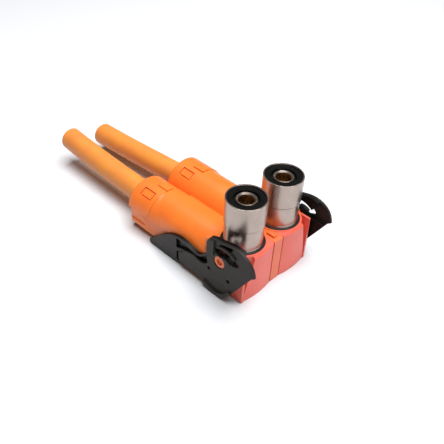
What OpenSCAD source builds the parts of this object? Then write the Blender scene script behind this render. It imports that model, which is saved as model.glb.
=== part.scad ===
// High voltage plug: two shielded round contacts at a right angle to two cables, with a lever.
// The origin lies on the underside of the body, midway between the two contact axes.
// X runs from the left contact to the right one, Y towards the cables, Z up the mating direction.
// Millimetres.

/* [Body] */
// Distance between the two contact axes
contact_pitch = 28.75; // [28.5:0.05:29]
// Height of the cable axes over the underside
axis_z = 14.4; // [14.3:0.1:14.8]
// Radius of each cable barrel
barrel_r = 14; // [13.8:0.05:14.1]
// Half width of the front block
block_half_w = 27; // [26.8:0.1:27.2]
// Height of the front block
block_h = 29.2; // [29:0.1:30]
// Farthest point of the front wall, ahead of the contact axes
block_front = 14; // [13.8:0.1:14.6]
// Y of the back end of the body
body_end_y = 77; // [77:0.5:80]

/* [Shields and contacts] */
// Radius of the upper shield tube
tube_r = 11; // [10.8:0.1:11.2]
// Height of the mating end of the shield tubes
tube_top_z = 57.7; // [56:0.1:60]
// Height of the seam between the shield sleeve and the shield tube
seam_z = 42.8; // [41:0.1:44]
// Radius of the pin that each socket takes
pin_r = 4; // [3.8:0.05:4.1]

/* [Lever] */
// Height of the lever's pivot
pivot_z = 24.3; // [24.2:0.1:25]
// Radius of the pivot bosses
boss_r = 3.5; // [3.2:0.1:3.6]
// Radius of the round part of each cheek
disc_r = 23.8; // [23.6:0.1:24]
// Inner face of each cheek, measured from the middle plane
cheek_in = 28.7; // [28.6:0.05:29]
// Thickness of each cheek
cheek_t = 3.3; // [3.1:0.1:3.6]

/* [Cables] */
// Outer diameter of each shielded cable
cable_d = 15; // [14.8:0.1:15.2]

/* [Hidden] */
$fn = 64;
half_pitch = contact_pitch / 2;
sides = [-1, 1];
orange = "#f0772e";
black = "#2b2a29";
metal = "#b4a69c";
copper = "#c98d4e";

// Body
wall = 3.4;
bore_r = barrel_r - wall;
block_back = 15;
fin_t = 1.4;
cap_y = 59.5;
side_w = 28.3;
keel_w = 26;
strip_w = 29.2;
strip_z = 4.8;
tray_top = axis_z + 1.2;
tray_w = 29.6;
tray_full_y = 67;
web_half = 6;
// The valley's round is sunk a little, so that it cuts the barrels and doesn't only touch them
fillet_r = 1.5;
fillet_sink = 0.12;
fillet_a = asin(half_pitch / (barrel_r + fillet_r));
fillet_z = axis_z + (barrel_r + fillet_r) * cos(fillet_a) - fillet_sink;
pad_h = 2.3;
seat_r = barrel_r - 0.4;
seat_y = 60;
lip_r = 13;
seal_seat_r = 12.1;
seal_z = 27.4;
seal_top = block_h + 0.9;
bar_slot_y = 45;
bar_slot_h = 2.7;

// Front wall in plan, right half: rib, groove, shallow bulge and corner fin
bulge_half = 10.65;
bulge_rise = 1.1;
bulge_r = (bulge_half * bulge_half + bulge_rise * bulge_rise) / (2 * bulge_rise);
bulge_x = 14.8;
bulge_a = asin(bulge_half / bulge_r);
scoop_w = 6.4;
front_chamfer = 1.2;

// Cap, its hood's axis a little outside and below the cable's axis
hood_r = 14.9;
hood_out = 0.9;
hood_down = 0.8;
hood_end_y = 78.5;
hood_rim = 1.4;
hood_corner = 4;
plate_top = 14.7;
swell_y = 50;
swell_r = 13.1;
cap_body_r = seat_r - 0.2;
cap_bore_r = 11.4;
cap_wall = 3;
cable_hole_r = cable_d / 2 + 0.4;
strand_r = 4.6;

// Contact set, all turned about the contact axis
sleeve_r = tube_r - 0.5;
sleeve_in = sleeve_r - 0.75;
neck_r = tube_r - 0.8;
neck_top = seam_z + 5;
seam_cut = 0.35;
insulator_r = sleeve_in - 0.05;
insulator_top = tube_top_z - 0.8;
socket_r = pin_r + 1.5;
socket_in = pin_r + 0.8;
socket_mouth = pin_r + 0.3;
socket_top = tube_top_z - 0.9;

// Lever
pivot = [0, pivot_z];
slot_half = 2.85;
slot_a0 = 85;
slot_a1 = 158;
slot_end_y = -13.4;
lip_w = 0.9;
lip_h = 1;
rim_h = 1.2;
rim_w = 2;
plate_t = 2.4;
groove_t = 0.9;
finger_y = 27.6;
detent_y = 7;
detent_z = 15.5;
detent_r = norm([detent_y, pivot_z - detent_z]);
cut_top = [-22.2, 28.6];
cut_bottom = [-9.6, 8];

// Cable routes out of the caps: the left one rises a little, the right one sags
cable_sides = 12;
route_left = [[-14.4, 52, 14.4], [-14.4, 74, 14.4], [-14.4, 96, 14.4], [-14.3, 118, 14.9],
              [-14.1, 140, 15.8], [-13.8, 160, 17]];
route_right = [[14.4, 52, 14.4], [14.4, 74, 14.4], [14, 96, 13.4], [13.4, 118, 12.1],
               [12.8, 140, 11.1], [12.2, 160, 10.6]];

// Points on an arc about c, from angle a0 to a1 in n steps
function arc(c, r, a0, a1, n) =
    [for (i = [0:n]) let (a = a0 + (a1 - a0) * i / n) c + r * [cos(a), sin(a)]];

// Points on a cubic curve with four control points
function curve(p0, p1, p2, p3, n) =
    [for (i = [0:n]) let (t = i / n, s = 1 - t)
        s * s * s * p0 + 3 * s * s * t * p1 + 3 * s * t * t * p2 + t * t * t * p3];

// 0 to 1 with a soft start and end
function smooth(t) = let (s = min(1, max(0, t))) s * s * (3 - 2 * s);

// Outer radius of the cheek above the pivot, growing towards the front
function cheek_r(a) = 13.8 + (disc_r + 0.8 - 13.8) * smooth((a - 88) / 70);

// Radius of the middle of the cam slot
function slot_r(a) = 7.2 + 0.075 * (a - slot_a0);

// Band about the pivot between two radii that both follow the angle
function inner_r(kind, a) =
    kind == "slot" ? slot_r(a) - slot_half
    : kind == "lip above" ? slot_r(a) + slot_half
    : kind == "lip below" ? slot_r(a) - slot_half - lip_w
    : slot_r(a) + slot_half + lip_w;
function outer_r(kind, a) =
    kind == "slot" ? slot_r(a) + slot_half
    : kind == "lip above" ? slot_r(a) + slot_half + lip_w
    : kind == "lip below" ? slot_r(a) - slot_half
    : cheek_r(a) - 1;
function polar(r, a) = pivot + r * [cos(a), sin(a)];

// The same points in reverse, moved towards the pivot
function inset(points, d) =
    [for (i = [len(points) - 1:-1:0]) let (v = points[i] - pivot) pivot + v * (1 - d / norm(v))];
function band(kind, a0, a1, n) =
    concat([for (i = [0:n]) let (a = a0 + (a1 - a0) * i / n) polar(inner_r(kind, a), a)],
           [for (i = [n:-1:0]) let (a = a0 + (a1 - a0) * i / n) polar(outer_r(kind, a), a)]);

// A cylinder along Y, from y0 to y1
module along_y(x, z, r, y0, y1)
    translate([x, y0, z]) rotate([-90, 0, 0]) cylinder(h = y1 - y0, r = r);

// An outline in X and Z, drawn from y0 to y1
module profile_y(points, y0, y1)
    translate([0, y1, 0]) rotate([90, 0, 0]) linear_extrude(y1 - y0) polygon(points);

// An outline in Y and Z, drawn from x0 to x1
module profile_x(points, x0, x1)
    translate([x0, 0, 0]) rotate([90, 0, 90]) linear_extrude(x1 - x0) polygon(points);

module ring_y(x, r_out, r_in, y0, y1)
    difference() {
        along_y(x, axis_z, r_out, y0, y1);
        along_y(x, axis_z, r_in, y0 - 1, y1 + 1);
    }

front_half = concat(
    [[0, -12.9], [3.3, -12.9], [3.4, -12], [3.9, -12]],
    arc([bulge_x, bulge_r - block_front], bulge_r, -90 - bulge_a, -90 + bulge_a, 12),
    [[block_half_w - fin_t, -13.4], [block_half_w, -13.2], [block_half_w, block_back]]);
function mirrored(points) =
    [for (i = [len(points) - 1:-1:0]) [-points[i][0], points[i][1]]];

module front_block() {
    difference() {
        linear_extrude(block_h) polygon(concat(mirrored(front_half), front_half));
        // Slope along the top front edge
        edge_y = -block_front + front_chamfer;
        profile_x([[edge_y - 4, block_h - 4], [edge_y + 1, block_h + 1], [edge_y - 4, block_h + 1]], -30, 30);
    }
    // Raised lip round each tube and the small tab between them
    for (s = sides) translate([s * half_pitch, 0, block_h - 1]) cylinder(h = 1.4, r = lip_r);
    translate([-1.4, -10.4, block_h - 1]) cube([2.8, 5, 2.3]);
}

// Upper outer corner of the front wall, cut back to a round boss inside the fin
module corner_scoop(s) {
    fin_x = block_half_w - fin_t;
    difference() {
        profile_y([[s * fin_x, 3], [s * fin_x, block_h + 2], [s * (fin_x - scoop_w), block_h + 2]],
                  -block_front - 2, -7);
        translate([s * half_pitch, 0, 0]) cylinder(h = block_h + 4, r = lip_r + 0.2);
    }
}

module lower_body() {
    // Flat-bottomed sides below the barrels
    side_z = strip_z * (side_w - keel_w) / (strip_w - keel_w);
    side = [[side_w, axis_z], [side_w, side_z], [keel_w, 0]];
    profile_y(concat(mirrored(side), side), block_back - 1, cap_y - 0.2);
    // Tray under the caps, wider towards its end, with a strip along each lower edge
    tray = [[tray_w, tray_top], [28.8, 8.2], [strip_w + 0.2, 7.7], [strip_w, strip_z], [keel_w, 0]];
    plan = [[side_w, cap_y - 0.2], [tray_w, tray_full_y], [tray_w, body_end_y + 1]];
    intersection() {
        profile_y(concat(mirrored(tray), tray), cap_y - 0.2, body_end_y);
        linear_extrude(tray_top + 1) polygon(concat(mirrored(plan), plan));
    }
    // Web between the barrels, with a rounded valley that ends in a pit at the caps
    translate([-web_half, 8, 0]) cube([2 * web_half, body_end_y - 8, tray_top]);
    translate([-web_half, 8, 0]) cube([2 * web_half, cap_y - 8.5, tray_top + 1.4]);
    profile_y(concat([[-web_half, axis_z], [web_half, axis_z]],
                     arc([0, fillet_z], fillet_r, fillet_a - 90, -90 - fillet_a, 8)), 8, cap_y - 3);
}

// Fills the rounded lower corner that the hood leaves open
module corner_fill(s)
    intersection() {
        along_y(s * (half_pitch + hood_out), axis_z - hood_down, hood_r - 0.1,
                cap_y - 0.2, cap_y + hood_corner);
        difference() {
            translate([s > 0 ? half_pitch : -half_pitch - 20, cap_y - 0.2, tray_top - 0.5])
                cube([20, hood_corner + 0.2, hood_corner + 0.5]);
            translate([s * half_pitch - 20, cap_y + hood_corner, tray_top + hood_corner]) rotate([0, 90, 0])
                cylinder(h = 40, r = hood_corner + 0.1);
        }
    }

// Swell that brings the outer side of each barrel out to the hood's size
module swell(s)
    intersection() {
        translate([s * (half_pitch + hood_out), swell_y, axis_z - hood_down]) rotate([-90, 0, 0])
            cylinder(h = cap_y - 0.1 - swell_y, r1 = swell_r, r2 = hood_r - 0.2);
        translate([s > 0 ? half_pitch : -half_pitch - 20, swell_y - 1, axis_z - 0.2]) cube([20, 20, 20]);
    }

module pivot_boss(s) {
    boss_x = cheek_in + cheek_t - 0.4;
    // Pad that the cheek runs beside, and the boss with its sloped, hollow end
    translate([s * (block_half_w - 1), 0, pivot_z]) rotate([0, s * 90, 0])
        cylinder(h = pad_h, r = boss_r + 3);
    difference() {
        translate([s * (block_half_w - 1), 0, pivot_z]) rotate([0, s * 90, 0])
            cylinder(h = boss_x - block_half_w + 1, r = boss_r);
        translate([s * (boss_x - 0.9), 0, pivot_z]) rotate([0, s * 90, 0]) cylinder(h = 3, r = 1.9);
        translate([s * (cheek_in + cheek_t - 0.4), 0, pivot_z - boss_r]) rotate([0, s * 20, 0])
            translate([0, -boss_r - 1, -4]) mirror([s < 0 ? 1 : 0, 0, 0]) cube([4, 2 * boss_r + 2, 5.4]);
    }
}

module detent_nub(s) {
    translate([s * (block_half_w - 1), -detent_y, detent_z]) rotate([0, s * 90, 0])
        cylinder(h = pad_h, r = 2.4);
    translate([s * (block_half_w - 1), -detent_y, detent_z]) rotate([0, s * 90, 0])
        cylinder(h = cheek_in - block_half_w + 1.8, r1 = 1.2, r2 = 0.7);
}

module housing() {
    color(orange) difference() {
        union() {
            front_block();
            for (s = sides) along_y(s * half_pitch, axis_z, barrel_r, 8, cap_y);
            for (s = sides) corner_fill(s);
            for (s = sides) swell(s);
            lower_body();
            for (s = sides) pivot_boss(s);
            for (s = sides) detent_nub(s);
        }
        for (s = sides) corner_scoop(s);
        for (s = sides) {
            // Cable bore, cap seat, contact shaft and seal seat
            along_y(s * half_pitch, axis_z, bore_r, 0, seat_y + 1);
            along_y(s * half_pitch, axis_z, seat_r, seat_y, body_end_y + 1);
            translate([s * half_pitch, 0, axis_z - bore_r]) cylinder(h = 30, r = bore_r);
            translate([s * half_pitch, 0, seal_z]) cylinder(h = 6, r = seal_seat_r);
        }
        // Slot across the underside for the lever's bar
        translate([-40, bar_slot_y, -1]) cube([80, cap_y - 0.2 - bar_slot_y, bar_slot_h + 1]);
        // Rear corners in plan
        for (s = sides) translate([s * tray_w, body_end_y, 0]) rotate([0, 0, 45])
            cube([2.4, 2.4, 60], center = true);
    }
}

// Outline of a cheek in Y and Z: flattened disc, arm, hook, spiral top and sloped front
lower_edge = concat(curve(cut_bottom, [-7.2, 4.2], [-2.6, 0.7], polar(disc_r, -84), 8),
                    arc(pivot, disc_r, -82, -62, 7));
cheek_outline = concat(
    lower_edge,
    curve([13, 3.7], [19, 3.9], [26, 4.6], [32, 2], 8),
    [[36, 0.9], [44, 0.8], [55.6, 0.8]],
    arc([55.6, 2.3], 1.5, -60, 30, 4),
    curve([56.8, 3.6], [48, 11], [40, 20.3], [30, 20.2], 12),
    curve([29, 20.2], [24, 20], [21, 18], [17.2, 18.1], 8),
    curve([16.6, 18.2], [13.6, 19], [11.4, 22.6], [8.6, 27], 6),
    [[8.4, 28], [8.3, 34.6]],
    arc([6.8, 34.8], 1.5, 10, 70, 4),
    [for (a = [72:6:156]) polar(cheek_r(a), a)],
    [for (a = [160, 164, 167]) polar(cheek_r(a), a)],
    [cut_top]);

// Upper edge of the disc's thick part and of the rounded finger that runs back from it
finger_edge = concat(curve([8.2, 18.2], [11, 14.6], [15, 14.6], [19, 16], 6),
                     curve([19.6, 16.1], [24, 15.8], [28, 14], [33.6, 12], 6));

// What stands at full thickness: the disc and the finger
module cheek_overlay()
    intersection() {
        profile_x(cheek_outline, cheek_in + 1, cheek_in + cheek_t);
        difference() {
            union() {
                translate([cheek_in, -30, -5]) cube([8, finger_y + 30, 60]);
                translate([cheek_in, finger_y, 8.1]) rotate([0, 90, 0]) cylinder(h = 8, r = 3.9);
            }
            profile_x(concat(finger_edge, [[34, 27], [8.9, 27]]), cheek_in, cheek_in + 8);
        }
    }

// One cheek, on the right-hand side
module cheek() {
    face = cheek_in + cheek_t;
    difference() {
        union() {
            profile_x(cheek_outline, cheek_in, cheek_in + plate_t);
            cheek_overlay();
            // Rim along the bottom of the disc
            profile_x(concat(lower_edge, inset(lower_edge, rim_w)), face - 1, face + rim_h);
            // Lips above and below the cam slot, and the hook's thick back
            profile_x(band("lip above", 84, 140, 10), face - 1, face + lip_h);
            profile_x(band("lip below", 100, 152, 10), face - 1, face + lip_h);
            profile_x([[3.4, 27.6], [8.3, 27.6], [8.3, 34.6], [7, 36.2], [3.4, 37]], face - 1, face + 1);
        }
        // Sloped front end of the rim
        profile_x([cut_bottom, cut_top, [-30, cut_top[1]], [-30, -2], [cut_bottom[0], -2]],
                  cheek_in - 1, face + 4);
        // Pivot bore, countersunk on the outside
        translate([cheek_in - 1, 0, pivot_z]) rotate([0, 90, 0]) cylinder(h = 8, r = boss_r + 0.05);
        translate([face - 0.5, 0, pivot_z]) rotate([0, 90, 0])
            cylinder(h = 0.6, r1 = boss_r, r2 = boss_r + 0.7);
        // Cam slot, right through, with a round closed end
        difference() {
            union() {
                profile_x(band("slot", slot_a0, slot_a1, 12), cheek_in - 1, face + 2);
                translate([cheek_in - 1, polar(slot_r(slot_a0), slot_a0)[0],
                           polar(slot_r(slot_a0), slot_a0)[1]])
                    rotate([0, 90, 0]) cylinder(h = 8, r = slot_half);
            }
            translate([cheek_in - 2, slot_end_y - 10, 20]) cube([10, 10, 20]);
        }
        // Groove above the finger, under the thin lip along the top of the arm, with one small rib
        difference() {
            profile_x(concat(finger_edge, curve([33.6, 18.7], [29, 19.9], [22, 16.9], [17.4, 17.1], 8),
                             curve([16.6, 17.2], [14.2, 17.6], [12.4, 19.4], [9.8, 22], 5)),
                      cheek_in + groove_t, face + 1);
            translate([cheek_in, 18, 14]) cube([plate_t - 0.5, 0.9, 5]);
        }
        // Pit at the finger's end
        profile_x(concat(arc([32, 8.8], 1.3, 0, 180, 6), arc([32.3, 4.2], 1.3, 180, 360, 6)),
                  cheek_in + groove_t, face + 1);
        // Pocket outside the slot's upper lip
        profile_x(band("pocket", 92, 122, 8), cheek_in + 1.7, face + 2);
        // Mouth of the cam slot, open to the rim on the inner face
        profile_x([[-8.6, 27.6], [-26, 27.6], [-26, 46], [slot_end_y - 1.6, 46],
                   [slot_end_y - 1.6, 36], [-12.4, 34]],
                  cheek_in - 1, cheek_in + 2);
        // Detent holes, and the track between them on the inner face
        for (s = sides) translate([cheek_in - 1, s * detent_y, detent_z]) rotate([0, 90, 0])
            cylinder(h = 8, r = 1.1, $fn = 32);
        profile_x(concat(arc(pivot, detent_r + 1.3, -135, -45, 16), arc(pivot, detent_r - 1.3, -45, -135, 16)),
                  cheek_in - 1, cheek_in + 1.1);
    }
}

module lever() {
    color(black) {
        for (s = sides) mirror([s < 0 ? 1 : 0, 0, 0]) cheek();
        // Bar that joins the two arms under the body
        translate([-cheek_in - 1, 47.4, 0.3]) cube([2 * cheek_in + 2, 9.6, 2]);
    }
}

// A box on a round about an axis along Y through c, at an angle about that axis
module on_round(c, angle, width, r0, r1, y0, y1)
    translate([c[0], 0, c[1]]) rotate([0, 90 - angle, 0])
        translate([-width / 2, y0, r0]) cube([width, y1 - y0, r1 - r0]);

// A cylinder along Y that ends in a chamfer at the back of the cap
module rimmed(c, r, y0) {
    along_y(c[0], c[1], r, y0, hood_end_y - hood_rim);
    translate([c[0], hood_end_y - hood_rim, c[1]]) rotate([-90, 0, 0])
        cylinder(h = hood_rim, r1 = r, r2 = r - hood_rim);
}

function hood_axis(s) = [s * hood_out, axis_z - hood_down];

// Hood over one side's cable, flush with the barrel on its inner side
module hood(s) {
    reach = 20;
    over = axis_z + reach;
    intersection() {
        rimmed(hood_axis(s), hood_r, cap_y);
        // Rounded lower corner at the front
        profile_x(concat([[hood_end_y + 1, tray_top], [hood_end_y + 1, over], [cap_y - 1, over],
                          [cap_y - 1, tray_top + hood_corner]],
                         arc([cap_y + hood_corner, tray_top + hood_corner], hood_corner, 180, 270, 8)),
                  -reach, reach);
    }
    on_round([0, axis_z], 84, 4.8, 12, plate_top, cap_y - 0.6, 67);
}

// Cap: hood, inner ring that fills the seat, and a latch window with its catch standing inside
module back_cap(s) {
    catch_a = 121;
    difference() {
        union() {
            hood(s);
            rimmed([0, axis_z], cap_body_r, seat_y);
        }
        difference() {
            on_round(hood_axis(s), catch_a, 5.6, hood_r - 1.1, hood_r + 2, 62.5, 72);
            on_round(hood_axis(s), catch_a, 4.2, hood_r - 2, hood_r - 0.35, 63.3, 71.2);
        }
        along_y(0, axis_z, cap_bore_r, cap_y - 3, hood_end_y - cap_wall);
        along_y(0, axis_z, cable_hole_r, cap_y - 3, hood_end_y + 1);
        // Room for the end of the barrel and its swell
        along_y(0, axis_z, barrel_r + 0.05, cap_y - 3, cap_y + 0.02);
        along_y(hood_axis(s)[0], hood_axis(s)[1], hood_r - 0.15, cap_y - 3, cap_y - 0.05);
    }
}

module back_cap_at(s) color(orange) translate([s * half_pitch, 0, 0]) back_cap(s);
module back_cap_left() back_cap_at(-1);
module back_cap_right() back_cap_at(1);

// Ribbed seal that grips the cable inside the cap
module cable_seal_at(s) {
    inner = cable_d / 2 - 0.1;
    y0 = 63;
    y1 = 73.6;
    color(black) translate([s * half_pitch, y0, axis_z]) rotate([-90, 0, 0]) difference() {
        union() {
            cylinder(h = y1 - y0, r = cap_bore_r - 0.7);
            for (i = [0:2]) translate([0, 0, 1 + 3.4 * i]) cylinder(h = 1.6, r = cap_bore_r);
        }
        translate([0, 0, -1]) cylinder(h = y1 - y0 + 2, r = inner);
    }
}
module cable_seal_left() cable_seal_at(-1);
module cable_seal_right() cable_seal_at(1);

// Upper shield tube with a thin rounded mouth and a locking dimple, seated on the sleeve's shoulder
module shield_tube_at(s) {
    round = 0.15;
    dimple_z = 44.6;
    dimple_a = s > 0 ? -86 : 60;
    color(metal) translate([s * half_pitch, 0, 0]) difference() {
        rotate_extrude()
            polygon(concat([[neck_r, seam_z], [tube_r - seam_cut, seam_z], [tube_r, seam_z + seam_cut]],
                           arc([tube_r - round, tube_top_z - round], round, 0, 90, 5),
                           [[neck_r + 0.2, tube_top_z], [neck_r, tube_top_z - 0.2]]));
        rotate([0, 0, dimple_a]) translate([tube_r - 0.35, 0, dimple_z]) rotate([0, 90, 0])
            cylinder(h = 1, r1 = 0.5, r2 = 1.2);
    }
}
module shield_tube_left() shield_tube_at(-1);
module shield_tube_right() shield_tube_at(1);

// Shield sleeve: stands in the body, flared just over the seal, necked inside the tube
module shield_sleeve_at(s) {
    foot_z = 20.5;
    color(metal) translate([s * half_pitch, 0, 0]) rotate_extrude()
        polygon([[sleeve_in, foot_z], [sleeve_r, foot_z], [sleeve_r, seal_top], [sleeve_r + 0.3, seal_top],
                 [sleeve_r, seal_top + 1.1], [sleeve_r, seam_z - seam_cut], [sleeve_r - 0.25, seam_z],
                 [neck_r, seam_z], [neck_r, neck_top], [sleeve_in, neck_top]]);
}
module shield_sleeve_left() shield_sleeve_at(-1);
module shield_sleeve_right() shield_sleeve_at(1);

// Black insulator round the socket, wider above the sleeve, with a groove round the socket's mouth
module insulator_at(s) {
    base_z = 21;
    groove_z = insulator_top - 1.5;
    inner = socket_r + 0.03;
    outer = neck_r - 0.05;
    color(black) translate([s * half_pitch, 0, 0]) rotate_extrude()
        polygon([[inner, base_z], [insulator_r, base_z], [insulator_r, neck_top + 0.1], [outer, neck_top + 0.1],
                 [outer, insulator_top], [socket_r + 1.7, insulator_top], [socket_r + 1.4, insulator_top - 0.3],
                 [socket_r + 1.3, groove_z], [inner, groove_z]]);
}
module insulator_left() insulator_at(-1);
module insulator_right() insulator_at(1);

// Right-angle contact: upright socket, solid knee and the barrel that takes the conductor
module contact_at(s) {
    knee = 5.6;
    barrel_len = 22;
    floor_z = 34;
    bevel = 0.25;
    lip_z = socket_top - 1.25;
    color(metal) translate([s * half_pitch, 0, 0]) difference() {
        union() {
            rotate_extrude() polygon([[0, axis_z - knee], [socket_r, axis_z - knee],
                                      [socket_r, socket_top - bevel], [socket_r - bevel, socket_top],
                                      [0, socket_top]]);
            translate([-knee, -knee, axis_z - knee]) cube([2 * knee, 2 * knee, 2 * knee]);
            along_y(0, axis_z, knee + 0.4, 0, barrel_len);
        }
        translate([0, 0, floor_z]) cylinder(h = lip_z - floor_z, r = socket_in);
        // Narrower mouth over the spring, with a wide lead-in
        translate([0, 0, floor_z]) cylinder(h = 40, r = socket_mouth);
        translate([0, 0, socket_top - 0.9]) cylinder(h = 1, r1 = socket_mouth - 0.1, r2 = socket_mouth + 0.9);
        along_y(0, axis_z, strand_r, 7, barrel_len + 1);
    }
}
module contact_left() contact_at(-1);
module contact_right() contact_at(1);

// Spring crown inside the socket, narrowest at its middle
module contact_spring_at(s) {
    spring_z = 45;
    spring_h = 10.5;
    color(copper) translate([s * half_pitch, 0, spring_z]) difference() {
        rotate_extrude()
            polygon([[pin_r + 0.45, 0], [socket_in, 0], [socket_in, 1.2], [pin_r + 0.5, spring_h / 2],
                     [socket_in, spring_h - 1.2], [socket_in, spring_h], [pin_r + 0.45, spring_h],
                     [pin_r, spring_h / 2 + 1], [pin_r, spring_h / 2 - 1]]);
        // Slits between the leaves
        for (i = [0:5]) rotate([0, 0, 30 * i]) translate([-6, -0.2, 1.4]) cube([12, 0.4, spring_h - 2.8]);
    }
}
module contact_spring_left() contact_spring_at(-1);
module contact_spring_right() contact_spring_at(1);

// Black ring at the foot of each shield tube
module base_seal_at(s) {
    color(black) translate([s * half_pitch, 0, 0]) rotate_extrude()
        polygon(concat([[sleeve_r, seal_z], [seal_seat_r, seal_z], [seal_seat_r, block_h - 0.4]],
                       arc([seal_seat_r - 0.8, seal_top - 0.8], 0.8, 0, 90, 5), [[sleeve_r, seal_top]]));
}
module base_seal_left() base_seal_at(-1);
module base_seal_right() base_seal_at(1);

// Metal ring that clamps the cable's braid inside the barrel
module braid_ferrule_at(s) color(metal) ring_y(s * half_pitch, bore_r, cable_d / 2, 50, 58);
module braid_ferrule_left() braid_ferrule_at(-1);
module braid_ferrule_right() braid_ferrule_at(1);

// Inner insulation of the cable, bared of its jacket
module core_at(s) color(orange) along_y(s * half_pitch, axis_z, 6, 24, 52);
module core_left() core_at(-1);
module core_right() core_at(1);

// Bare strands in the contact's barrel
module conductor_at(s) color(copper) along_y(s * half_pitch, axis_z, strand_r - 0.03, 7.1, 24);
module conductor_left() conductor_at(-1);
module conductor_right() conductor_at(1);

// Tube of round section swept along a route that runs mostly along Y
function ring_at(c, r) =
    [for (i = [0:cable_sides - 1]) let (a = 360 * i / cable_sides) c + [r * cos(a), 0, r * sin(a)]];
module swept(route, r) {
    rings = len(route);
    n = cable_sides;
    points = [for (c = route) each ring_at(c, r)];
    first = [[for (i = [0:n - 1]) i]];
    last = [[for (i = [n - 1:-1:0]) (rings - 1) * n + i]];
    walls = [for (k = [0:rings - 2]) for (i = [0:n - 1]) let (j = (i + 1) % n)
        [k * n + i, (k + 1) * n + i, (k + 1) * n + j, k * n + j]];
    polyhedron(points, concat(first, last, walls));
}

module cable_left() color(orange) swept(route_left, cable_d / 2);
module cable_right() color(orange) swept(route_right, cable_d / 2);

housing();
lever();
back_cap_left();
back_cap_right();
cable_seal_left();
cable_seal_right();
shield_tube_left();
shield_tube_right();
shield_sleeve_left();
shield_sleeve_right();
insulator_left();
insulator_right();
contact_left();
contact_right();
contact_spring_left();
contact_spring_right();
base_seal_left();
base_seal_right();
braid_ferrule_left();
braid_ferrule_right();
core_left();
core_right();
conductor_left();
conductor_right();
cable_left();
cable_right();
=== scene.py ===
"""Looks of the high voltage connector: finer pieces, finishes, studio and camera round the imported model."""

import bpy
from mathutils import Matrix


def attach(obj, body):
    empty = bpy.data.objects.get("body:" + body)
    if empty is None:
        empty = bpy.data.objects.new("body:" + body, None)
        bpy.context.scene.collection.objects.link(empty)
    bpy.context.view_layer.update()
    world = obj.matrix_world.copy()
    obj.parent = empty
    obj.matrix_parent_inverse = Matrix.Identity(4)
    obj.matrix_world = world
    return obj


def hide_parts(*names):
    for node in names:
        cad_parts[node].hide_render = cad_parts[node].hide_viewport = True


bl_info = {
    "name": "High voltage connector",
    "version": (1, 0, 0),
    "blender": (4, 5, 0),
    "location": "3D View > Sidebar > Connector",
    "description": "Dresses a right-angle high voltage plug with its finishes, cables and studio",
    "category": "Object",
}

from math import cos, pi, radians, sin

import bmesh
import bpy
from bpy.props import FloatProperty, FloatVectorProperty, IntProperty, PointerProperty
from mathutils import Matrix, Vector

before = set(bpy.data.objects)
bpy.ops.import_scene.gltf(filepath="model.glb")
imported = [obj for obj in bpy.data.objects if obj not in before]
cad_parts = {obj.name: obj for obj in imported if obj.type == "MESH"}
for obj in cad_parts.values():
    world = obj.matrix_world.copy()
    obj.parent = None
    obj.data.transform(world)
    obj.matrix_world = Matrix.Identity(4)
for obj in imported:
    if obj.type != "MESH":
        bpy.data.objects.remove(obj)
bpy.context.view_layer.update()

MM = 0.001
SIDES = ("left", "right")

# Outer faces of the lever's arms, to either side of the middle plane
LEVER_ARM_X = 31.1 * MM

# Where the cables leave their caps, and their routes, as in the part's source
ROUTES = {
    "left": [(-0.0144, 0.052, 0.0144), (-0.0144, 0.074, 0.0144), (-0.0144, 0.096, 0.0144),
             (-0.0143, 0.118, 0.0149), (-0.0141, 0.140, 0.0158), (-0.0138, 0.160, 0.0170)],
    "right": [(0.0144, 0.052, 0.0144), (0.0144, 0.074, 0.0144), (0.0140, 0.096, 0.0134),
              (0.0134, 0.118, 0.0121), (0.0128, 0.140, 0.0111), (0.0122, 0.160, 0.0106)],
}
ROUTE_POINTS = 25

# Layers of a cable, measured inwards from its cut end
INWARD = Vector((0, -1, 0))
POCKET_DEPTH = 6 * MM
BRAID_WALL = 0.55 * MM
STRANDS_OUT = 4.6 * MM
PLAY = 0.02 * MM
LAP = 0.04 * MM
LAYER_SIDES = 48
STRAND_SIDES = 10
SHARP_EDGE = radians(30)

FLOOR_REACH = 3.0
FLOOR_Z = -0.1 * MM
LIGHT_PLACE = Vector((0.12, -0.1, 1.15))
LIGHT_TARGET = Vector((0, 0.03, 0))
LIGHT_SIZE = 1.0


def linear(colour):
    """sRGB hex, such as "#f0772e", to linear red, green, blue and full alpha."""
    parts = [int(colour[i:i + 2], 16) / 255 for i in (1, 3, 5)]
    return tuple(c / 12.92 if c <= 0.04045 else ((c + 0.055) / 1.055) ** 2.4 for c in parts) + (1.0,)


# Settings that a user would change

class CONNECTOR_PG_plastics(bpy.types.PropertyGroup):
    housing_colour: FloatVectorProperty(
        name="Housing", description="Orange of the moulded body and caps", subtype="COLOR", size=4,
        min=0, max=1, default=linear("#ee7828"))
    # The front wall's colour is a painted shade and painted reflection, redder and pinker than the housing
    front_shade_colour: FloatVectorProperty(
        name="Front wall", description="Redder orange of the body's front, where the melt came in",
        subtype="COLOR", size=4, min=0, max=1, default=linear("#ee6856"))
    lever_colour: FloatVectorProperty(
        name="Lever", description="Black of the moulded lever", subtype="COLOR", size=4,
        min=0, max=1, default=linear("#282522"))
    edge_round: FloatProperty(
        name="Edge rounding", description="Width of the rounding along moulded edges", unit="LENGTH",
        min=0, max=1 * MM, default=0.3 * MM)


class CONNECTOR_PG_cables(bpy.types.PropertyGroup):
    colour: FloatVectorProperty(
        name="Jacket", description="Orange of the cable jackets", subtype="COLOR", size=4,
        min=0, max=1, default=linear("#dc8a38"))
    diameter: FloatProperty(
        name="Diameter", description="Outer diameter of each cable", unit="LENGTH",
        min=14 * MM, max=16 * MM, default=15 * MM)
    jacket: FloatProperty(
        name="Jacket wall", description="Thickness of the cable's jacket", unit="LENGTH",
        min=0.5 * MM, max=1.5 * MM, default=1 * MM)
    strand_rings: IntProperty(
        name="Strand rings", description="Rings of copper strands round the middle one",
        min=2, max=7, default=5)


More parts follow.
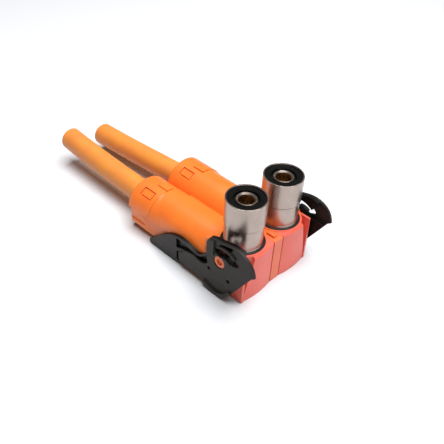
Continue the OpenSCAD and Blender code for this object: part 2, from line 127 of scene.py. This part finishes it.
class CONNECTOR_PG_stage(bpy.types.PropertyGroup):
    camera_place: FloatVectorProperty(
        name="Camera", description="Place of the camera", subtype="XYZ", unit="LENGTH", size=3,
        default=(-0.186103, -0.140719, 0.225901))
    azimuth: FloatProperty(
        name="Azimuth", description="Side that the camera looks from, off the front", subtype="ANGLE",
        default=radians(-47.709))
    elevation: FloatProperty(
        name="Elevation", description="How far the camera looks down", subtype="ANGLE",
        default=radians(39.872))
    roll: FloatProperty(
        name="Roll", description="Turn of the picture about its middle", subtype="ANGLE",
        default=radians(3.4195))
    lens: FloatProperty(
        name="Lens", description="Focal length on a 36 mm sensor, in millimetres",
        subtype="DISTANCE_CAMERA", min=20, max=120, default=45.75)
    floor_colour: FloatVectorProperty(
        name="Floor", description="Pale grey of the floor", subtype="COLOR", size=4,
        min=0, max=1, default=linear("#d2d3d6"))
    sky: FloatProperty(
        name="Room light", description="Strength of the even light all round", min=0, max=3, default=0.12)
    top_light: FloatProperty(
        name="Top light", description="Power of the soft box overhead", min=0, max=200, default=28.5)


# Meshes

def make_piece(name, bm, material, body):
    """Makes the closed skins of a bmesh an object on a body. Its faces point outwards and are smooth
    but for the edges that turn sharply."""
    bmesh.ops.recalc_face_normals(bm, faces=bm.faces)
    for edge in bm.edges:
        edge.smooth = not (edge.is_manifold and edge.calc_face_angle(0) > SHARP_EDGE)
    for face in bm.faces:
        face.smooth = True
    mesh = bpy.data.meshes.new(name)
    bm.to_mesh(mesh)
    bm.free()
    mesh.materials.append(material)
    piece = bpy.data.objects.new(name, mesh)
    bpy.context.scene.collection.objects.link(piece)
    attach(piece, body)
    return piece


def ring(bm, sides, radius, centre):
    """Makes a circle of vertices round a line along Y, and returns its edges."""
    matrix = Matrix.Translation(centre) @ Matrix.Rotation(pi / 2, 4, "X")
    made = bmesh.ops.create_circle(bm, cap_ends=False, segments=sides, radius=radius, matrix=matrix)
    return list({edge for vertex in made["verts"] for edge in vertex.link_edges})


def tube_along(bm, path, radii, sides):
    """Rings at each place of a path, bridged to one closed skin with flat ends. Two rings that follow
    each other are a little apart along the path, so that the bridge knows its direction."""
    loops = [ring(bm, sides, radius, place) for place, radius in zip(path, radii)]
    for one, two in zip(loops, loops[1:]):
        bmesh.ops.bridge_loops(bm, edges=one + two)
    bmesh.ops.contextual_create(bm, geom=loops[0])
    bmesh.ops.contextual_create(bm, geom=loops[-1])


def on_curve(points, count):
    """count places, evenly spaced in parameter, on a smooth curve through the given points."""
    points = [Vector(point) for point in points]
    ends = [points[0] * 2 - points[1], *points, points[-1] * 2 - points[-2]]
    spans = len(points) - 1
    places = []
    for step in range(count):
        along = step * spans / (count - 1)
        span = min(int(along), spans - 1)
        t = along - span
        before, start, finish, after = ends[span:span + 4]
        places.append(0.5 * (2 * start + (finish - before) * t
                             + (2 * before - 5 * start + 4 * finish - after) * t * t
                             + (3 * start - before - 3 * finish + after) * t ** 3))
    return places


# Layers of a cable

def layer(name, places, radii, material):
    """One layer of a cable, a closed skin on the plug."""
    bm = bmesh.new()
    tube_along(bm, places, radii, LAYER_SIDES)
    return make_piece(name, bm, material, "plug")


def cable_jacket(name, path, jacket_out, braid_out, material):
    """The jacket along the route, rounded at its cut edge, with a pocket there for what lies inside."""
    edge = 0.25 * MM
    end = path[-1]
    places = path[:-1] + [end + INWARD * edge, end, end + INWARD * LAP, end + INWARD * POCKET_DEPTH]
    radii = [jacket_out] * len(path) + [jacket_out - edge, braid_out, braid_out]
    return layer(name, places, radii, material)


def cable_braid(name, end, braid_out, core_out, material):
    """The braid, a sleeve in the jacket's pocket that is trimmed a little short."""
    rim = end + INWARD * 0.15 * MM
    outer = braid_out - PLAY
    inner = core_out + PLAY
    places = [end + INWARD * POCKET_DEPTH, rim, rim + INWARD * LAP, end + INWARD * (POCKET_DEPTH - LAP)]
    return layer(name, places, [outer, outer, inner, inner], material)


def cable_core(name, end, core_out, material):
    """The insulation, rounded at its cut edge, with room for the strands."""
    edge = 0.15 * MM
    rim = end + INWARD * 0.05 * MM
    places = [end + INWARD * POCKET_DEPTH, rim + INWARD * edge, rim, rim + INWARD * LAP,
              end + INWARD * (POCKET_DEPTH - LAP)]
    radii = [core_out, core_out, core_out - edge, STRANDS_OUT, STRANDS_OUT]
    return layer(name, places, radii, material)


def cable_strands(name, end, rings, material):
    """Copper strands packed in rings round the middle one. Each ring is turned a little further than
    the last, and the strands are sheared at five slightly different depths."""
    least_depth = 0.1 * MM
    depth_range = 0.25 * MM
    depths = 5
    turn = 0.11
    taper = 0.12 * MM
    wire_room = STRANDS_OUT / (2 * rings + 1)
    wire = wire_room * 0.97
    sheared = wire_room * 0.7
    bm = bmesh.new()
    for circle in range(rings + 1):
        reach = 2 * wire_room * circle
        count = max(1, 6 * circle)
        for strand in range(count):
            angle = 2 * pi * strand / count + turn * circle
            at = end + Vector((reach * cos(angle), 0, reach * sin(angle)))
            step = (strand * 7 + circle * 3) % depths
            tip = at + INWARD * (least_depth + depth_range * step / (depths - 1))
            tube_along(bm, [at + INWARD * POCKET_DEPTH, tip + INWARD * taper, tip],
                       [wire, wire, sheared], STRAND_SIDES)
    return make_piece(name, bm, material, "plug")


# Materials

# Sockets of a Mix node that mixes colours
FACTOR = 0
COLOUR_A = 6
COLOUR_B = 7
MIXED = 2

# Noise lies mostly in these bands about its middle, which a Map Range node stretches
NARROW_BAND = {"From Min": 0.35, "From Max": 0.65}
WIDE_BAND = {"From Min": 0.3, "From Max": 0.7}


def add(tree, kind, settings=None, links=None):
    """Adds a node to a tree, with its own settings or input values, and its links."""
    node = tree.nodes.new(kind)
    for key, value in (settings or {}).items():
        if isinstance(key, str) and hasattr(node, key):
            setattr(node, key, value)
        else:
            node.inputs[key].default_value = value
    for key, socket in (links or {}).items():
        tree.links.new(socket, node.inputs[key])
    return node


def new_material(name):
    """An empty material, its tree and its Object coordinates."""
    material = bpy.data.materials.get(name)
    if material:
        bpy.data.materials.remove(material)
    material = bpy.data.materials.new(name)
    material.use_nodes = True
    tree = material.node_tree
    tree.nodes.clear()
    place = add(tree, "ShaderNodeTexCoord").outputs["Object"]
    return material, tree, place


def finish_material(tree, settings, links):
    """The shader with its settings and links, led to the material's surface."""
    shader = add(tree, "ShaderNodeBsdfPrincipled", settings, links)
    add(tree, "ShaderNodeOutputMaterial", None, {"Surface": shader.outputs["BSDF"]})


def soft_edges(tree, radius):
    """The normal rounded along sharp edges, and a mask that is bright where it turns. The mask goes by
    the cosine of the turn."""
    hardly_turned = 0.995
    well_turned = 0.8
    rounded = add(tree, "ShaderNodeBevel", {"samples": 6, "Radius": radius}).outputs["Normal"]
    flat = add(tree, "ShaderNodeNewGeometry").outputs["Normal"]
    same = add(tree, "ShaderNodeVectorMath", {"operation": "DOT_PRODUCT"}, {0: rounded, 1: flat})
    mask = add(tree, "ShaderNodeMapRange", {"From Min": hardly_turned, "From Max": well_turned},
               {"Value": same.outputs["Value"]})
    return rounded, mask.outputs["Result"]


def tinted(colour, factors):
    """A colour with its red, green and blue each multiplied."""
    return tuple(part * factor for part, factor in zip(colour, factors)) + (1.0,)


def dress(node, material):
    """Gives a CAD node's own mesh another finish."""
    if not node.material_slots:
        node.data.materials.append(material)
    for slot in node.material_slots:
        slot.material = material


def painted_front_shade(tree, place):
    """How much painted shade and painted reflection redden the body's plastic: fully on its front wall,
    less on the rib in the wall's middle, and not at all behind it."""
    behind_y = 4 * MM
    front_y = -11 * MM
    rib_x = 2.5 * MM
    off_rib_x = 4 * MM
    red_on_rib = 0.45
    axes = add(tree, "ShaderNodeSeparateXYZ", None, {"Vector": place})
    front = add(tree, "ShaderNodeMapRange", {"From Min": behind_y, "From Max": front_y},
                {"Value": axes.outputs["Y"]})
    aside = add(tree, "ShaderNodeMath", {"operation": "ABSOLUTE"}, {0: axes.outputs["X"]})
    off_rib = add(tree, "ShaderNodeMapRange",
                  {"From Min": rib_x, "From Max": off_rib_x, "To Min": red_on_rib},
                  {"Value": aside.outputs[0]})
    red = add(tree, "ShaderNodeMath", {"operation": "MULTIPLY"},
              {0: front.outputs["Result"], 1: off_rib.outputs["Result"]})
    return red.outputs[0]


def moulded_orange():
    """Nylon, moulded: saturated orange with a soft gloss and a spark-eroded grain, drawn 0.7 mm wide
    so that it shows. The melt left faint clouds. The front wall is painted redder and pinker as painted
    shade and painted reflection, and the edges are paler."""
    grain_width = 0.7 * MM
    cloud_width = 16.7 * MM
    cloud_tint = (0.94, 0.86, 0.84, 1)
    brightening = 0.2
    plastics = bpy.context.scene.connector_plastics
    material, tree, place = new_material("moulded orange nylon")
    # Painted shade and painted reflection: the front wall is mixed towards the redder, pinker colour
    colour = add(tree, "ShaderNodeMix",
                 {"data_type": "RGBA", COLOUR_A: plastics.housing_colour, COLOUR_B: plastics.front_shade_colour},
                 {FACTOR: painted_front_shade(tree, place)}).outputs[MIXED]
    cloud = add(tree, "ShaderNodeTexNoise", {"Scale": 1 / cloud_width, "Detail": 3, "Roughness": 0.5},
                {"Vector": place})
    grain = add(tree, "ShaderNodeTexNoise", {"Scale": 1 / grain_width, "Detail": 2, "Roughness": 0.6},
                {"Vector": place})
    tint = add(tree, "ShaderNodeMapRange", NARROW_BAND, {"Value": cloud.outputs["Fac"]})
    deep = add(tree, "ShaderNodeMix",
               {"data_type": "RGBA", "blend_type": "MULTIPLY", FACTOR: 1, COLOUR_B: cloud_tint},
               {COLOUR_A: colour}).outputs[MIXED]
    clouded = add(tree, "ShaderNodeMix", {"data_type": "RGBA"},
                  {FACTOR: tint.outputs["Result"], COLOUR_A: deep, COLOUR_B: colour}).outputs[MIXED]
    rounded, edge = soft_edges(tree, plastics.edge_round)
    # The edges are mixed towards a paler orange, by the edge mask
    edge_paling = add(tree, "ShaderNodeMath", {"operation": "MULTIPLY", 1: brightening}, {0: edge}).outputs[0]
    edge_paled = add(tree, "ShaderNodeMix", {"data_type": "RGBA", COLOUR_B: linear("#f08a5a")},
                  {FACTOR: edge_paling, COLOUR_A: clouded})
    rough = add(tree, "ShaderNodeMapRange", {**WIDE_BAND, "To Min": 0.32, "To Max": 0.42},
                {"Value": grain.outputs["Fac"]})
    bump = add(tree, "ShaderNodeBump", {"Strength": 0.12, "Distance": 0.05 * MM},
               {"Height": grain.outputs["Fac"], "Normal": rounded})
    finish_material(tree, {"IOR": 1.54},
                    {"Base Color": edge_paled.outputs[MIXED], "Roughness": rough.outputs["Result"],
                     "Normal": bump.outputs["Normal"]})
    return material


def painted_groove_shade_mask(tree, place):
    """A mask of the lever's outer faces, which leaves out its grooves and its inner faces for a painted
    shade.
    """
    across = add(tree, "ShaderNodeSeparateXYZ", None, {"Vector": place})
    aside = add(tree, "ShaderNodeMath", {"operation": "ABSOLUTE"}, {0: across.outputs["X"]})
    mask = add(tree, "ShaderNodeMapRange", {"From Min": LEVER_ARM_X - 1 * MM, "From Max": LEVER_ARM_X},
               {"Value": aside.outputs[0]})
    return mask.outputs["Result"]


def moulded_black():
    """Glass-filled nylon, moulded: warm black with a satin gloss and a grain, drawn 0.55 mm wide so
    that it shows. It is streaked along the flow of the melt. Its edges are greyer as a painted
    highlight, and its grooves and inner faces blacker as a painted shade."""
    grain_width = 0.55 * MM
    streak_width = 6.25 * MM
    streak_length = 17.9 * MM
    # Strength of the painted highlight along the lever's edges
    brightening = 0.4
    plastics = bpy.context.scene.connector_plastics
    material, tree, place = new_material("moulded black glass-filled nylon")
    flow = add(tree, "ShaderNodeMapping", {"Scale": (1, streak_width / streak_length, 1)},
               {"Vector": place})
    streaks = add(tree, "ShaderNodeTexNoise", {"Scale": 1 / streak_width, "Detail": 4, "Roughness": 0.6},
                  {"Vector": flow.outputs["Vector"]})
    grain = add(tree, "ShaderNodeTexNoise", {"Scale": 1 / grain_width, "Detail": 2, "Roughness": 0.6},
                {"Vector": place})
    tint = add(tree, "ShaderNodeMapRange", {"From Min": 0.35, "From Max": 0.7},
               {"Value": streaks.outputs["Fac"]})
    warm = tinted(plastics.lever_colour, (1.3, 1.22, 1.12))
    streaked = add(tree, "ShaderNodeMix",
                   {"data_type": "RGBA", COLOUR_A: plastics.lever_colour, COLOUR_B: warm},
                   {FACTOR: tint.outputs["Result"]})
    # Painted shade: the grooves and inner faces are mixed towards near black
    shaded = add(tree, "ShaderNodeMix", {"data_type": "RGBA", COLOUR_A: linear("#080706")},
                 {FACTOR: painted_groove_shade_mask(tree, place), COLOUR_B: streaked.outputs[MIXED]})
    rounded, edge = soft_edges(tree, plastics.edge_round)
    # Painted highlight: the edges are mixed towards grey
    edge_paling = add(tree, "ShaderNodeMath", {"operation": "MULTIPLY", 1: brightening}, {0: edge}).outputs[0]
    edge_paled = add(tree, "ShaderNodeMix", {"data_type": "RGBA", COLOUR_B: linear("#57524c")},
                  {FACTOR: edge_paling, COLOUR_A: shaded.outputs[MIXED]})
    rough = add(tree, "ShaderNodeMapRange", {**WIDE_BAND, "To Min": 0.34, "To Max": 0.46},
                {"Value": streaks.outputs["Fac"]})
    bump = add(tree, "ShaderNodeBump", {"Strength": 0.15, "Distance": 0.05 * MM},
               {"Height": grain.outputs["Fac"], "Normal": rounded})
    finish_material(tree, {"IOR": 1.53, "Specular IOR Level": 0.16},
                    {"Base Color": edge_paled.outputs[MIXED], "Roughness": rough.outputs["Result"],
                     "Normal": bump.outputs["Normal"]})
    return material


def drawn_metal():
    """Tin-plated brass, deep drawn and rolled: warm grey with a satin gloss, lines round the tube from
    the rollers, drawn a third of a millimetre apart so that they show, and duller smudges from
    handling."""
    line_width = MM / 3
    line_length = 25 * MM
    smudge_width = 7.1 * MM
    material, tree, place = new_material("drawn tinned brass")
    lines = add(tree, "ShaderNodeMapping", {"Scale": (1 / line_length, 1 / line_length, 1 / line_width)},
                {"Vector": place})
    rolled = add(tree, "ShaderNodeTexNoise", {"Scale": 1, "Detail": 3, "Roughness": 0.7},
                 {"Vector": lines.outputs["Vector"]})
    smudge = add(tree, "ShaderNodeTexNoise", {"Scale": 1 / smudge_width, "Detail": 4, "Roughness": 0.6},
                 {"Vector": place})
    tint = add(tree, "ShaderNodeMapRange", NARROW_BAND, {"Value": smudge.outputs["Fac"]})
    smudged = add(tree, "ShaderNodeMix",
                  {"data_type": "RGBA", COLOUR_A: linear("#a89a91"), COLOUR_B: linear("#b3a69d")},
                  {FACTOR: tint.outputs["Result"]})
    rough = add(tree, "ShaderNodeMapRange", {**WIDE_BAND, "To Min": 0.26, "To Max": 0.36},
                {"Value": smudge.outputs["Fac"]})
    bump = add(tree, "ShaderNodeBump", {"Strength": 0.05, "Distance": 0.02 * MM},
               {"Height": rolled.outputs["Fac"]})
    finish_material(tree, {"Metallic": 1},
                    {"Base Color": smudged.outputs[MIXED], "Roughness": rough.outputs["Result"],
                     "Normal": bump.outputs["Normal"]})
    return material


def glossy_black():
    """Unfilled PBT, moulded in a polished tool: black with clear highlights and faint swirls."""
    swirl_width = 3.3 * MM
    material, tree, place = new_material("polished black PBT")
    swirl = add(tree, "ShaderNodeTexNoise", {"Scale": 1 / swirl_width, "Detail": 3, "Roughness": 0.6},
                {"Vector": place})
    tint = add(tree, "ShaderNodeMix",
               {"data_type": "RGBA", COLOUR_A: linear("#030303"), COLOUR_B: linear("#090908")},
               {FACTOR: swirl.outputs["Fac"]})
    rough = add(tree, "ShaderNodeMapRange", {**WIDE_BAND, "To Min": 0.12, "To Max": 0.2},
                {"Value": swirl.outputs["Fac"]})
    bump = add(tree, "ShaderNodeBump", {"Strength": 0.1, "Distance": 0.04 * MM},
               {"Height": swirl.outputs["Fac"]})
    finish_material(tree, {"IOR": 1.54},
                    {"Base Color": tint.outputs[MIXED], "Roughness": rough.outputs["Result"],
                     "Normal": bump.outputs["Normal"]})
    return material


def seal_rubber():
    """Silicone rubber, moulded: dull black with a soft sheen and a dusting of grey."""
    dust_width = 2 * MM
    material, tree, place = new_material("black silicone rubber")
    dust = add(tree, "ShaderNodeTexNoise", {"Scale": 1 / dust_width, "Detail": 4, "Roughness": 0.65},
               {"Vector": place})
    tint = add(tree, "ShaderNodeMix",
               {"data_type": "RGBA", COLOUR_A: linear("#050505"), COLOUR_B: linear("#0e0e0d")},
               {FACTOR: dust.outputs["Fac"]})
    bump = add(tree, "ShaderNodeBump", {"Strength": 0.2, "Distance": 0.05 * MM},
               {"Height": dust.outputs["Fac"]})
    finish_material(tree, {"IOR": 1.41, "Roughness": 0.5},
                    {"Base Color": tint.outputs[MIXED], "Normal": bump.outputs["Normal"]})
    return material


def plated_contact():
    """Silver-plated copper, turned: bright with a pink warmth and lines from the lathe, drawn 0.25 mm
    apart so that they show."""
    line_width = 0.25 * MM
    line_length = 16.7 * MM
    material, tree, place = new_material("turned silver-plated copper")
    lines = add(tree, "ShaderNodeMapping", {"Scale": (1 / line_length, 1 / line_length, 1 / line_width)},
                {"Vector": place})
    turned = add(tree, "ShaderNodeTexNoise", {"Scale": 1, "Detail": 2, "Roughness": 0.6},
                 {"Vector": lines.outputs["Vector"]})
    tint = add(tree, "ShaderNodeMix",
               {"data_type": "RGBA", COLOUR_A: linear("#b4a498"), COLOUR_B: linear("#d0c2b8")},
               {FACTOR: turned.outputs["Fac"]})
    bump = add(tree, "ShaderNodeBump", {"Strength": 0.15, "Distance": 0.03 * MM},
               {"Height": turned.outputs["Fac"]})
    finish_material(tree, {"Metallic": 1, "Roughness": 0.3},
                    {"Base Color": tint.outputs[MIXED], "Normal": bump.outputs["Normal"]})
    return material


def gilt_spring():
    """Copper beryllium sheet, stamped and thinly gilt: golden brown, brighter where it is rubbed."""
    rub_width = 2.5 * MM
    material, tree, place = new_material("gilt copper beryllium")
    brightening = add(tree, "ShaderNodeTexNoise", {"Scale": 1 / rub_width, "Detail": 2, "Roughness": 0.5},
               {"Vector": place})
    tint = add(tree, "ShaderNodeMix",
               {"data_type": "RGBA", COLOUR_A: linear("#d0a468"), COLOUR_B: linear("#f0d0a0")},
               {FACTOR: brightening.outputs["Fac"]})
    rough = add(tree, "ShaderNodeMapRange", {**WIDE_BAND, "To Min": 0.18, "To Max": 0.26},
                {"Value": brightening.outputs["Fac"]})
    finish_material(tree, {"Metallic": 1},
                    {"Base Color": tint.outputs[MIXED], "Roughness": rough.outputs["Result"]})
    return material


def jacket_orange():
    """Silicone cable jacket, extruded: yellow-orange and satin, with lines along the cable from the
    die, drawn 1.1 mm apart so that they show, and dust that dulls it in patches."""
    line_width = 1.1 * MM
    line_length = 40 * MM
    dust_width = 11 * MM
    colour = bpy.context.scene.connector_cables.colour
    material, tree, place = new_material("extruded orange jacket")
    drawn = add(tree, "ShaderNodeMapping", {"Scale": (1 / line_width, 1 / line_length, 1 / line_width)},
                {"Vector": place})
    die = add(tree, "ShaderNodeTexNoise", {"Scale": 1, "Detail": 2, "Roughness": 0.5},
              {"Vector": drawn.outputs["Vector"]})
    dust = add(tree, "ShaderNodeTexNoise", {"Scale": 1 / dust_width, "Detail": 4, "Roughness": 0.6},
               {"Vector": place})
    tint = add(tree, "ShaderNodeMapRange", NARROW_BAND, {"Value": dust.outputs["Fac"]})
    dull = tinted(colour, (0.95, 0.86, 1.2))
    dusty = add(tree, "ShaderNodeMix", {"data_type": "RGBA", COLOUR_A: dull, COLOUR_B: colour},
                {FACTOR: tint.outputs["Result"]})
    rough = add(tree, "ShaderNodeMapRange", {**WIDE_BAND, "To Min": 0.36, "To Max": 0.5},
                {"Value": dust.outputs["Fac"]})
    bump = add(tree, "ShaderNodeBump", {"Strength": 0.2, "Distance": 0.06 * MM},
               {"Height": die.outputs["Fac"]})
    finish_material(tree, {"IOR": 1.43},
                    {"Base Color": dusty.outputs[MIXED], "Roughness": rough.outputs["Result"],
                     "Normal": bump.outputs["Normal"]})
    return material


def core_insulation():
    """Cross-linked silicone over the strands: a paler orange, dull where the blade cut it."""
    mark_width = 0.83 * MM
    material, tree, place = new_material("cut core insulation")
    cut = add(tree, "ShaderNodeTexNoise", {"Scale": 1 / mark_width, "Detail": 3, "Roughness": 0.7},
              {"Vector": place})
    tint = add(tree, "ShaderNodeMix",
               {"data_type": "RGBA", COLOUR_A: linear("#e07a3a"), COLOUR_B: linear("#f0a060")},
               {FACTOR: cut.outputs["Fac"]})
    bump = add(tree, "ShaderNodeBump", {"Strength": 0.3, "Distance": 0.08 * MM},
               {"Height": cut.outputs["Fac"]})
    finish_material(tree, {"IOR": 1.43, "Roughness": 0.55},
                    {"Base Color": tint.outputs[MIXED], "Normal": bump.outputs["Normal"]})
    return material


def tinned_braid():
    """Braid of tinned copper wires: grey metal, checked light and dark by the crossing wires, which
    are drawn 0.6 mm wide so that they show."""
    wire_width = 0.625 * MM
    material, tree, place = new_material("tinned copper braid")
    turned = add(tree, "ShaderNodeMapping", {"Rotation": (radians(45), radians(35), 0)},
                 {"Vector": place})
    weave = add(tree, "ShaderNodeTexChecker",
                {"Scale": 1 / wire_width, "Color1": linear("#8d8a86"), "Color2": linear("#d6d2cc")},
                {"Vector": turned.outputs["Vector"]})
    bump = add(tree, "ShaderNodeBump", {"Strength": 0.4, "Distance": 0.1 * MM},
               {"Height": weave.outputs["Fac"]})
    finish_material(tree, {"Metallic": 1, "Roughness": 0.35},
                    {"Base Color": weave.outputs["Color"], "Normal": bump.outputs["Normal"]})
    return material


def bare_copper():
    """Fine copper strands, freshly cut: salmon pink where sheared, browner along the wire."""
    stain_width = 0.67 * MM
    material, tree, place = new_material("cut copper strands")
    age = add(tree, "ShaderNodeTexNoise", {"Scale": 1 / stain_width, "Detail": 2, "Roughness": 0.6},
              {"Vector": place})
    tint = add(tree, "ShaderNodeMix",
               {"data_type": "RGBA", COLOUR_A: linear("#b8683c"), COLOUR_B: linear("#f0a884")},
               {FACTOR: age.outputs["Fac"]})
    finish_material(tree, {"Metallic": 1, "Roughness": 0.3}, {"Base Color": tint.outputs[MIXED]})
    return material


def studio_floor():
    """Matt paper: pale, with barely seen clouding."""
    cloud_width = 250 * MM
    colour = bpy.context.scene.connector_stage.floor_colour
    material, tree, place = new_material("matt pale paper")
    cloud = add(tree, "ShaderNodeTexNoise", {"Scale": 1 / cloud_width, "Detail": 2, "Roughness": 0.5},
                {"Vector": place})
    pale = tinted(colour, (1.02, 1.02, 1.02))
    tint = add(tree, "ShaderNodeMix", {"data_type": "RGBA", COLOUR_A: colour, COLOUR_B: pale},
               {FACTOR: cloud.outputs["Fac"]})
    finish_material(tree, {"Roughness": 0.9, "Specular IOR Level": 0.2},
                    {"Base Color": tint.outputs[MIXED]})
    return material


# Operators: one for each piece or group of like pieces

class CONNECTOR_OT_camera(bpy.types.Operator):
    """Places the camera where the picture was taken from"""
    bl_idname = "connector.camera"
    bl_label = "Camera"

    def execute(self, context):
        stage = context.scene.connector_stage
        level = cos(stage.elevation)
        back = Vector((sin(stage.azimuth) * level, -cos(stage.azimuth) * level, sin(stage.elevation)))
        right = Vector((0, 0, 1)).cross(back).normalized()
        up = back.cross(right)
        across = right * cos(stage.roll) + up * sin(stage.roll)
        above = up * cos(stage.roll) - right * sin(stage.roll)
        data = bpy.data.cameras.new("camera")
        data.sensor_width = 36
        data.lens = stage.lens
        data.clip_start = 10 * MM
        camera = bpy.data.objects.new("camera", data)
        turn = Matrix((across, above, back)).transposed().to_4x4()
        camera.matrix_world = Matrix.Translation(stage.camera_place) @ turn
        context.scene.collection.objects.link(camera)
        context.scene.camera = camera
        return {"FINISHED"}


class CONNECTOR_OT_cables(bpy.types.Operator):
    """Lays both shielded cables, with their layers showing at the cut ends"""
    bl_idname = "connector.cables"
    bl_label = "Cables"

    def execute(self, context):
        cables = context.scene.connector_cables
        jacket_out = cables.diameter / 2
        braid_out = jacket_out - cables.jacket
        core_out = braid_out - BRAID_WALL
        orange = jacket_orange()
        tinned = tinned_braid()
        insulation = core_insulation()
        copper = bare_copper()
        for side, route in ROUTES.items():
            path = on_curve(route, ROUTE_POINTS)
            end = path[-1]
            jacket = cable_jacket(f"cable_{side}_jacket", path, jacket_out, braid_out, orange)
            braid = cable_braid(f"cable_{side}_braid", end, braid_out, core_out, tinned)
            core = cable_core(f"cable_{side}_core", end, core_out, insulation)
            strands = cable_strands(f"cable_{side}_strands", end, cables.strand_rings, copper)
            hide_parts(f"cable_{side}")
            dress(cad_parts[f"core_{side}"], insulation)
            dress(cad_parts[f"conductor_{side}"], copper)
        return {"FINISHED"}


class CONNECTOR_OT_plastics(bpy.types.Operator):
    """Gives the body, caps and lever their plastics, with softly rounded edges"""
    bl_idname = "connector.plastics"
    bl_label = "Body, caps and lever"

    def execute(self, context):
        orange = moulded_orange()
        for name in ("housing", "back_cap_left", "back_cap_right"):
            dress(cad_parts[name], orange)
        dress(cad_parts["lever"], moulded_black())
        return {"FINISHED"}


class CONNECTOR_OT_contacts(bpy.types.Operator):
    """Gives the shields, insulators, contacts and seals their finishes"""
    bl_idname = "connector.contacts"
    bl_label = "Shields and contacts"

    def execute(self, context):
        metal = drawn_metal()
        black = glossy_black()
        rubber = seal_rubber()
        silver = plated_contact()
        gilt = gilt_spring()
        finishes = {"shield_tube": metal, "shield_sleeve": metal, "insulator": black, "contact": silver,
                    "contact_spring": gilt, "base_seal": rubber, "cable_seal": rubber,
                    "braid_ferrule": metal}
        for name, material in finishes.items():
            for side in SIDES:
                dress(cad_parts[f"{name}_{side}"], material)
        return {"FINISHED"}


class CONNECTOR_OT_stage(bpy.types.Operator):
    """Lays the floor, hangs the soft box overhead and lights the room evenly"""
    bl_idname = "connector.stage"
    bl_label = "Stage"

    def execute(self, context):
        scene = context.scene
        stage = scene.connector_stage
        bm = bmesh.new()
        bmesh.ops.create_grid(bm, x_segments=8, y_segments=8, size=FLOOR_REACH,
                              matrix=Matrix.Translation((0, 0, FLOOR_Z)))
        mesh = bpy.data.meshes.new("floor")
        bm.to_mesh(mesh)
        bm.free()
        mesh.materials.append(studio_floor())
        floor = bpy.data.objects.new("floor", mesh)
        scene.collection.objects.link(floor)

        soft_box = bpy.data.lights.new("soft_box_top", "AREA")
        soft_box.energy = stage.top_light
        soft_box.shape = "SQUARE"
        soft_box.size = LIGHT_SIZE
        light = bpy.data.objects.new("soft_box_top", soft_box)
        light.location = LIGHT_PLACE
        light.rotation_euler = (LIGHT_PLACE - LIGHT_TARGET).to_track_quat("Z", "Y").to_euler()
        scene.collection.objects.link(light)

        room = bpy.data.worlds.new("studio")
        room.use_nodes = True
        room.node_tree.nodes.clear()
        sky = add(room.node_tree, "ShaderNodeBackground", {"Color": (1, 1, 1, 1), "Strength": stage.sky})
        add(room.node_tree, "ShaderNodeOutputWorld", None, {"Surface": sky.outputs["Background"]})
        scene.world = room
        scene.view_settings.view_transform = "Standard"
        return {"FINISHED"}


class CONNECTOR_PT_sidebar(bpy.types.Panel):
    bl_idname = "CONNECTOR_PT_sidebar"
    bl_label = "High voltage connector"
    bl_space_type = "VIEW_3D"
    bl_region_type = "UI"
    bl_category = "Connector"

    def draw(self, context):
        for group_name in GROUPS:
            group = getattr(context.scene, group_name)
            for name in group.bl_rna.properties.keys():
                if name not in ("rna_type", "name"):
                    self.layout.prop(group, name)
        for operator in OPERATORS:
            self.layout.operator(operator.bl_idname)


GROUPS = {"connector_plastics": CONNECTOR_PG_plastics, "connector_cables": CONNECTOR_PG_cables,
          "connector_stage": CONNECTOR_PG_stage}
OPERATORS = [CONNECTOR_OT_camera, CONNECTOR_OT_cables, CONNECTOR_OT_plastics, CONNECTOR_OT_contacts,
             CONNECTOR_OT_stage]


def register():
    for cls in [*GROUPS.values(), *OPERATORS, CONNECTOR_PT_sidebar]:
        bpy.utils.register_class(cls)
    for name, cls in GROUPS.items():
        setattr(bpy.types.Scene, name, PointerProperty(type=cls))


def unregister():
    for name in GROUPS:
        delattr(bpy.types.Scene, name)
    for cls in reversed([*GROUPS.values(), *OPERATORS, CONNECTOR_PT_sidebar]):
        bpy.utils.unregister_class(cls)


def main():
    """Registers the add-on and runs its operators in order."""
    register()
    bpy.ops.connector.camera()
    bpy.ops.connector.cables()
    bpy.ops.connector.plastics()
    bpy.ops.connector.contacts()
    bpy.ops.connector.stage()


if __name__ == "__main__":
    main()
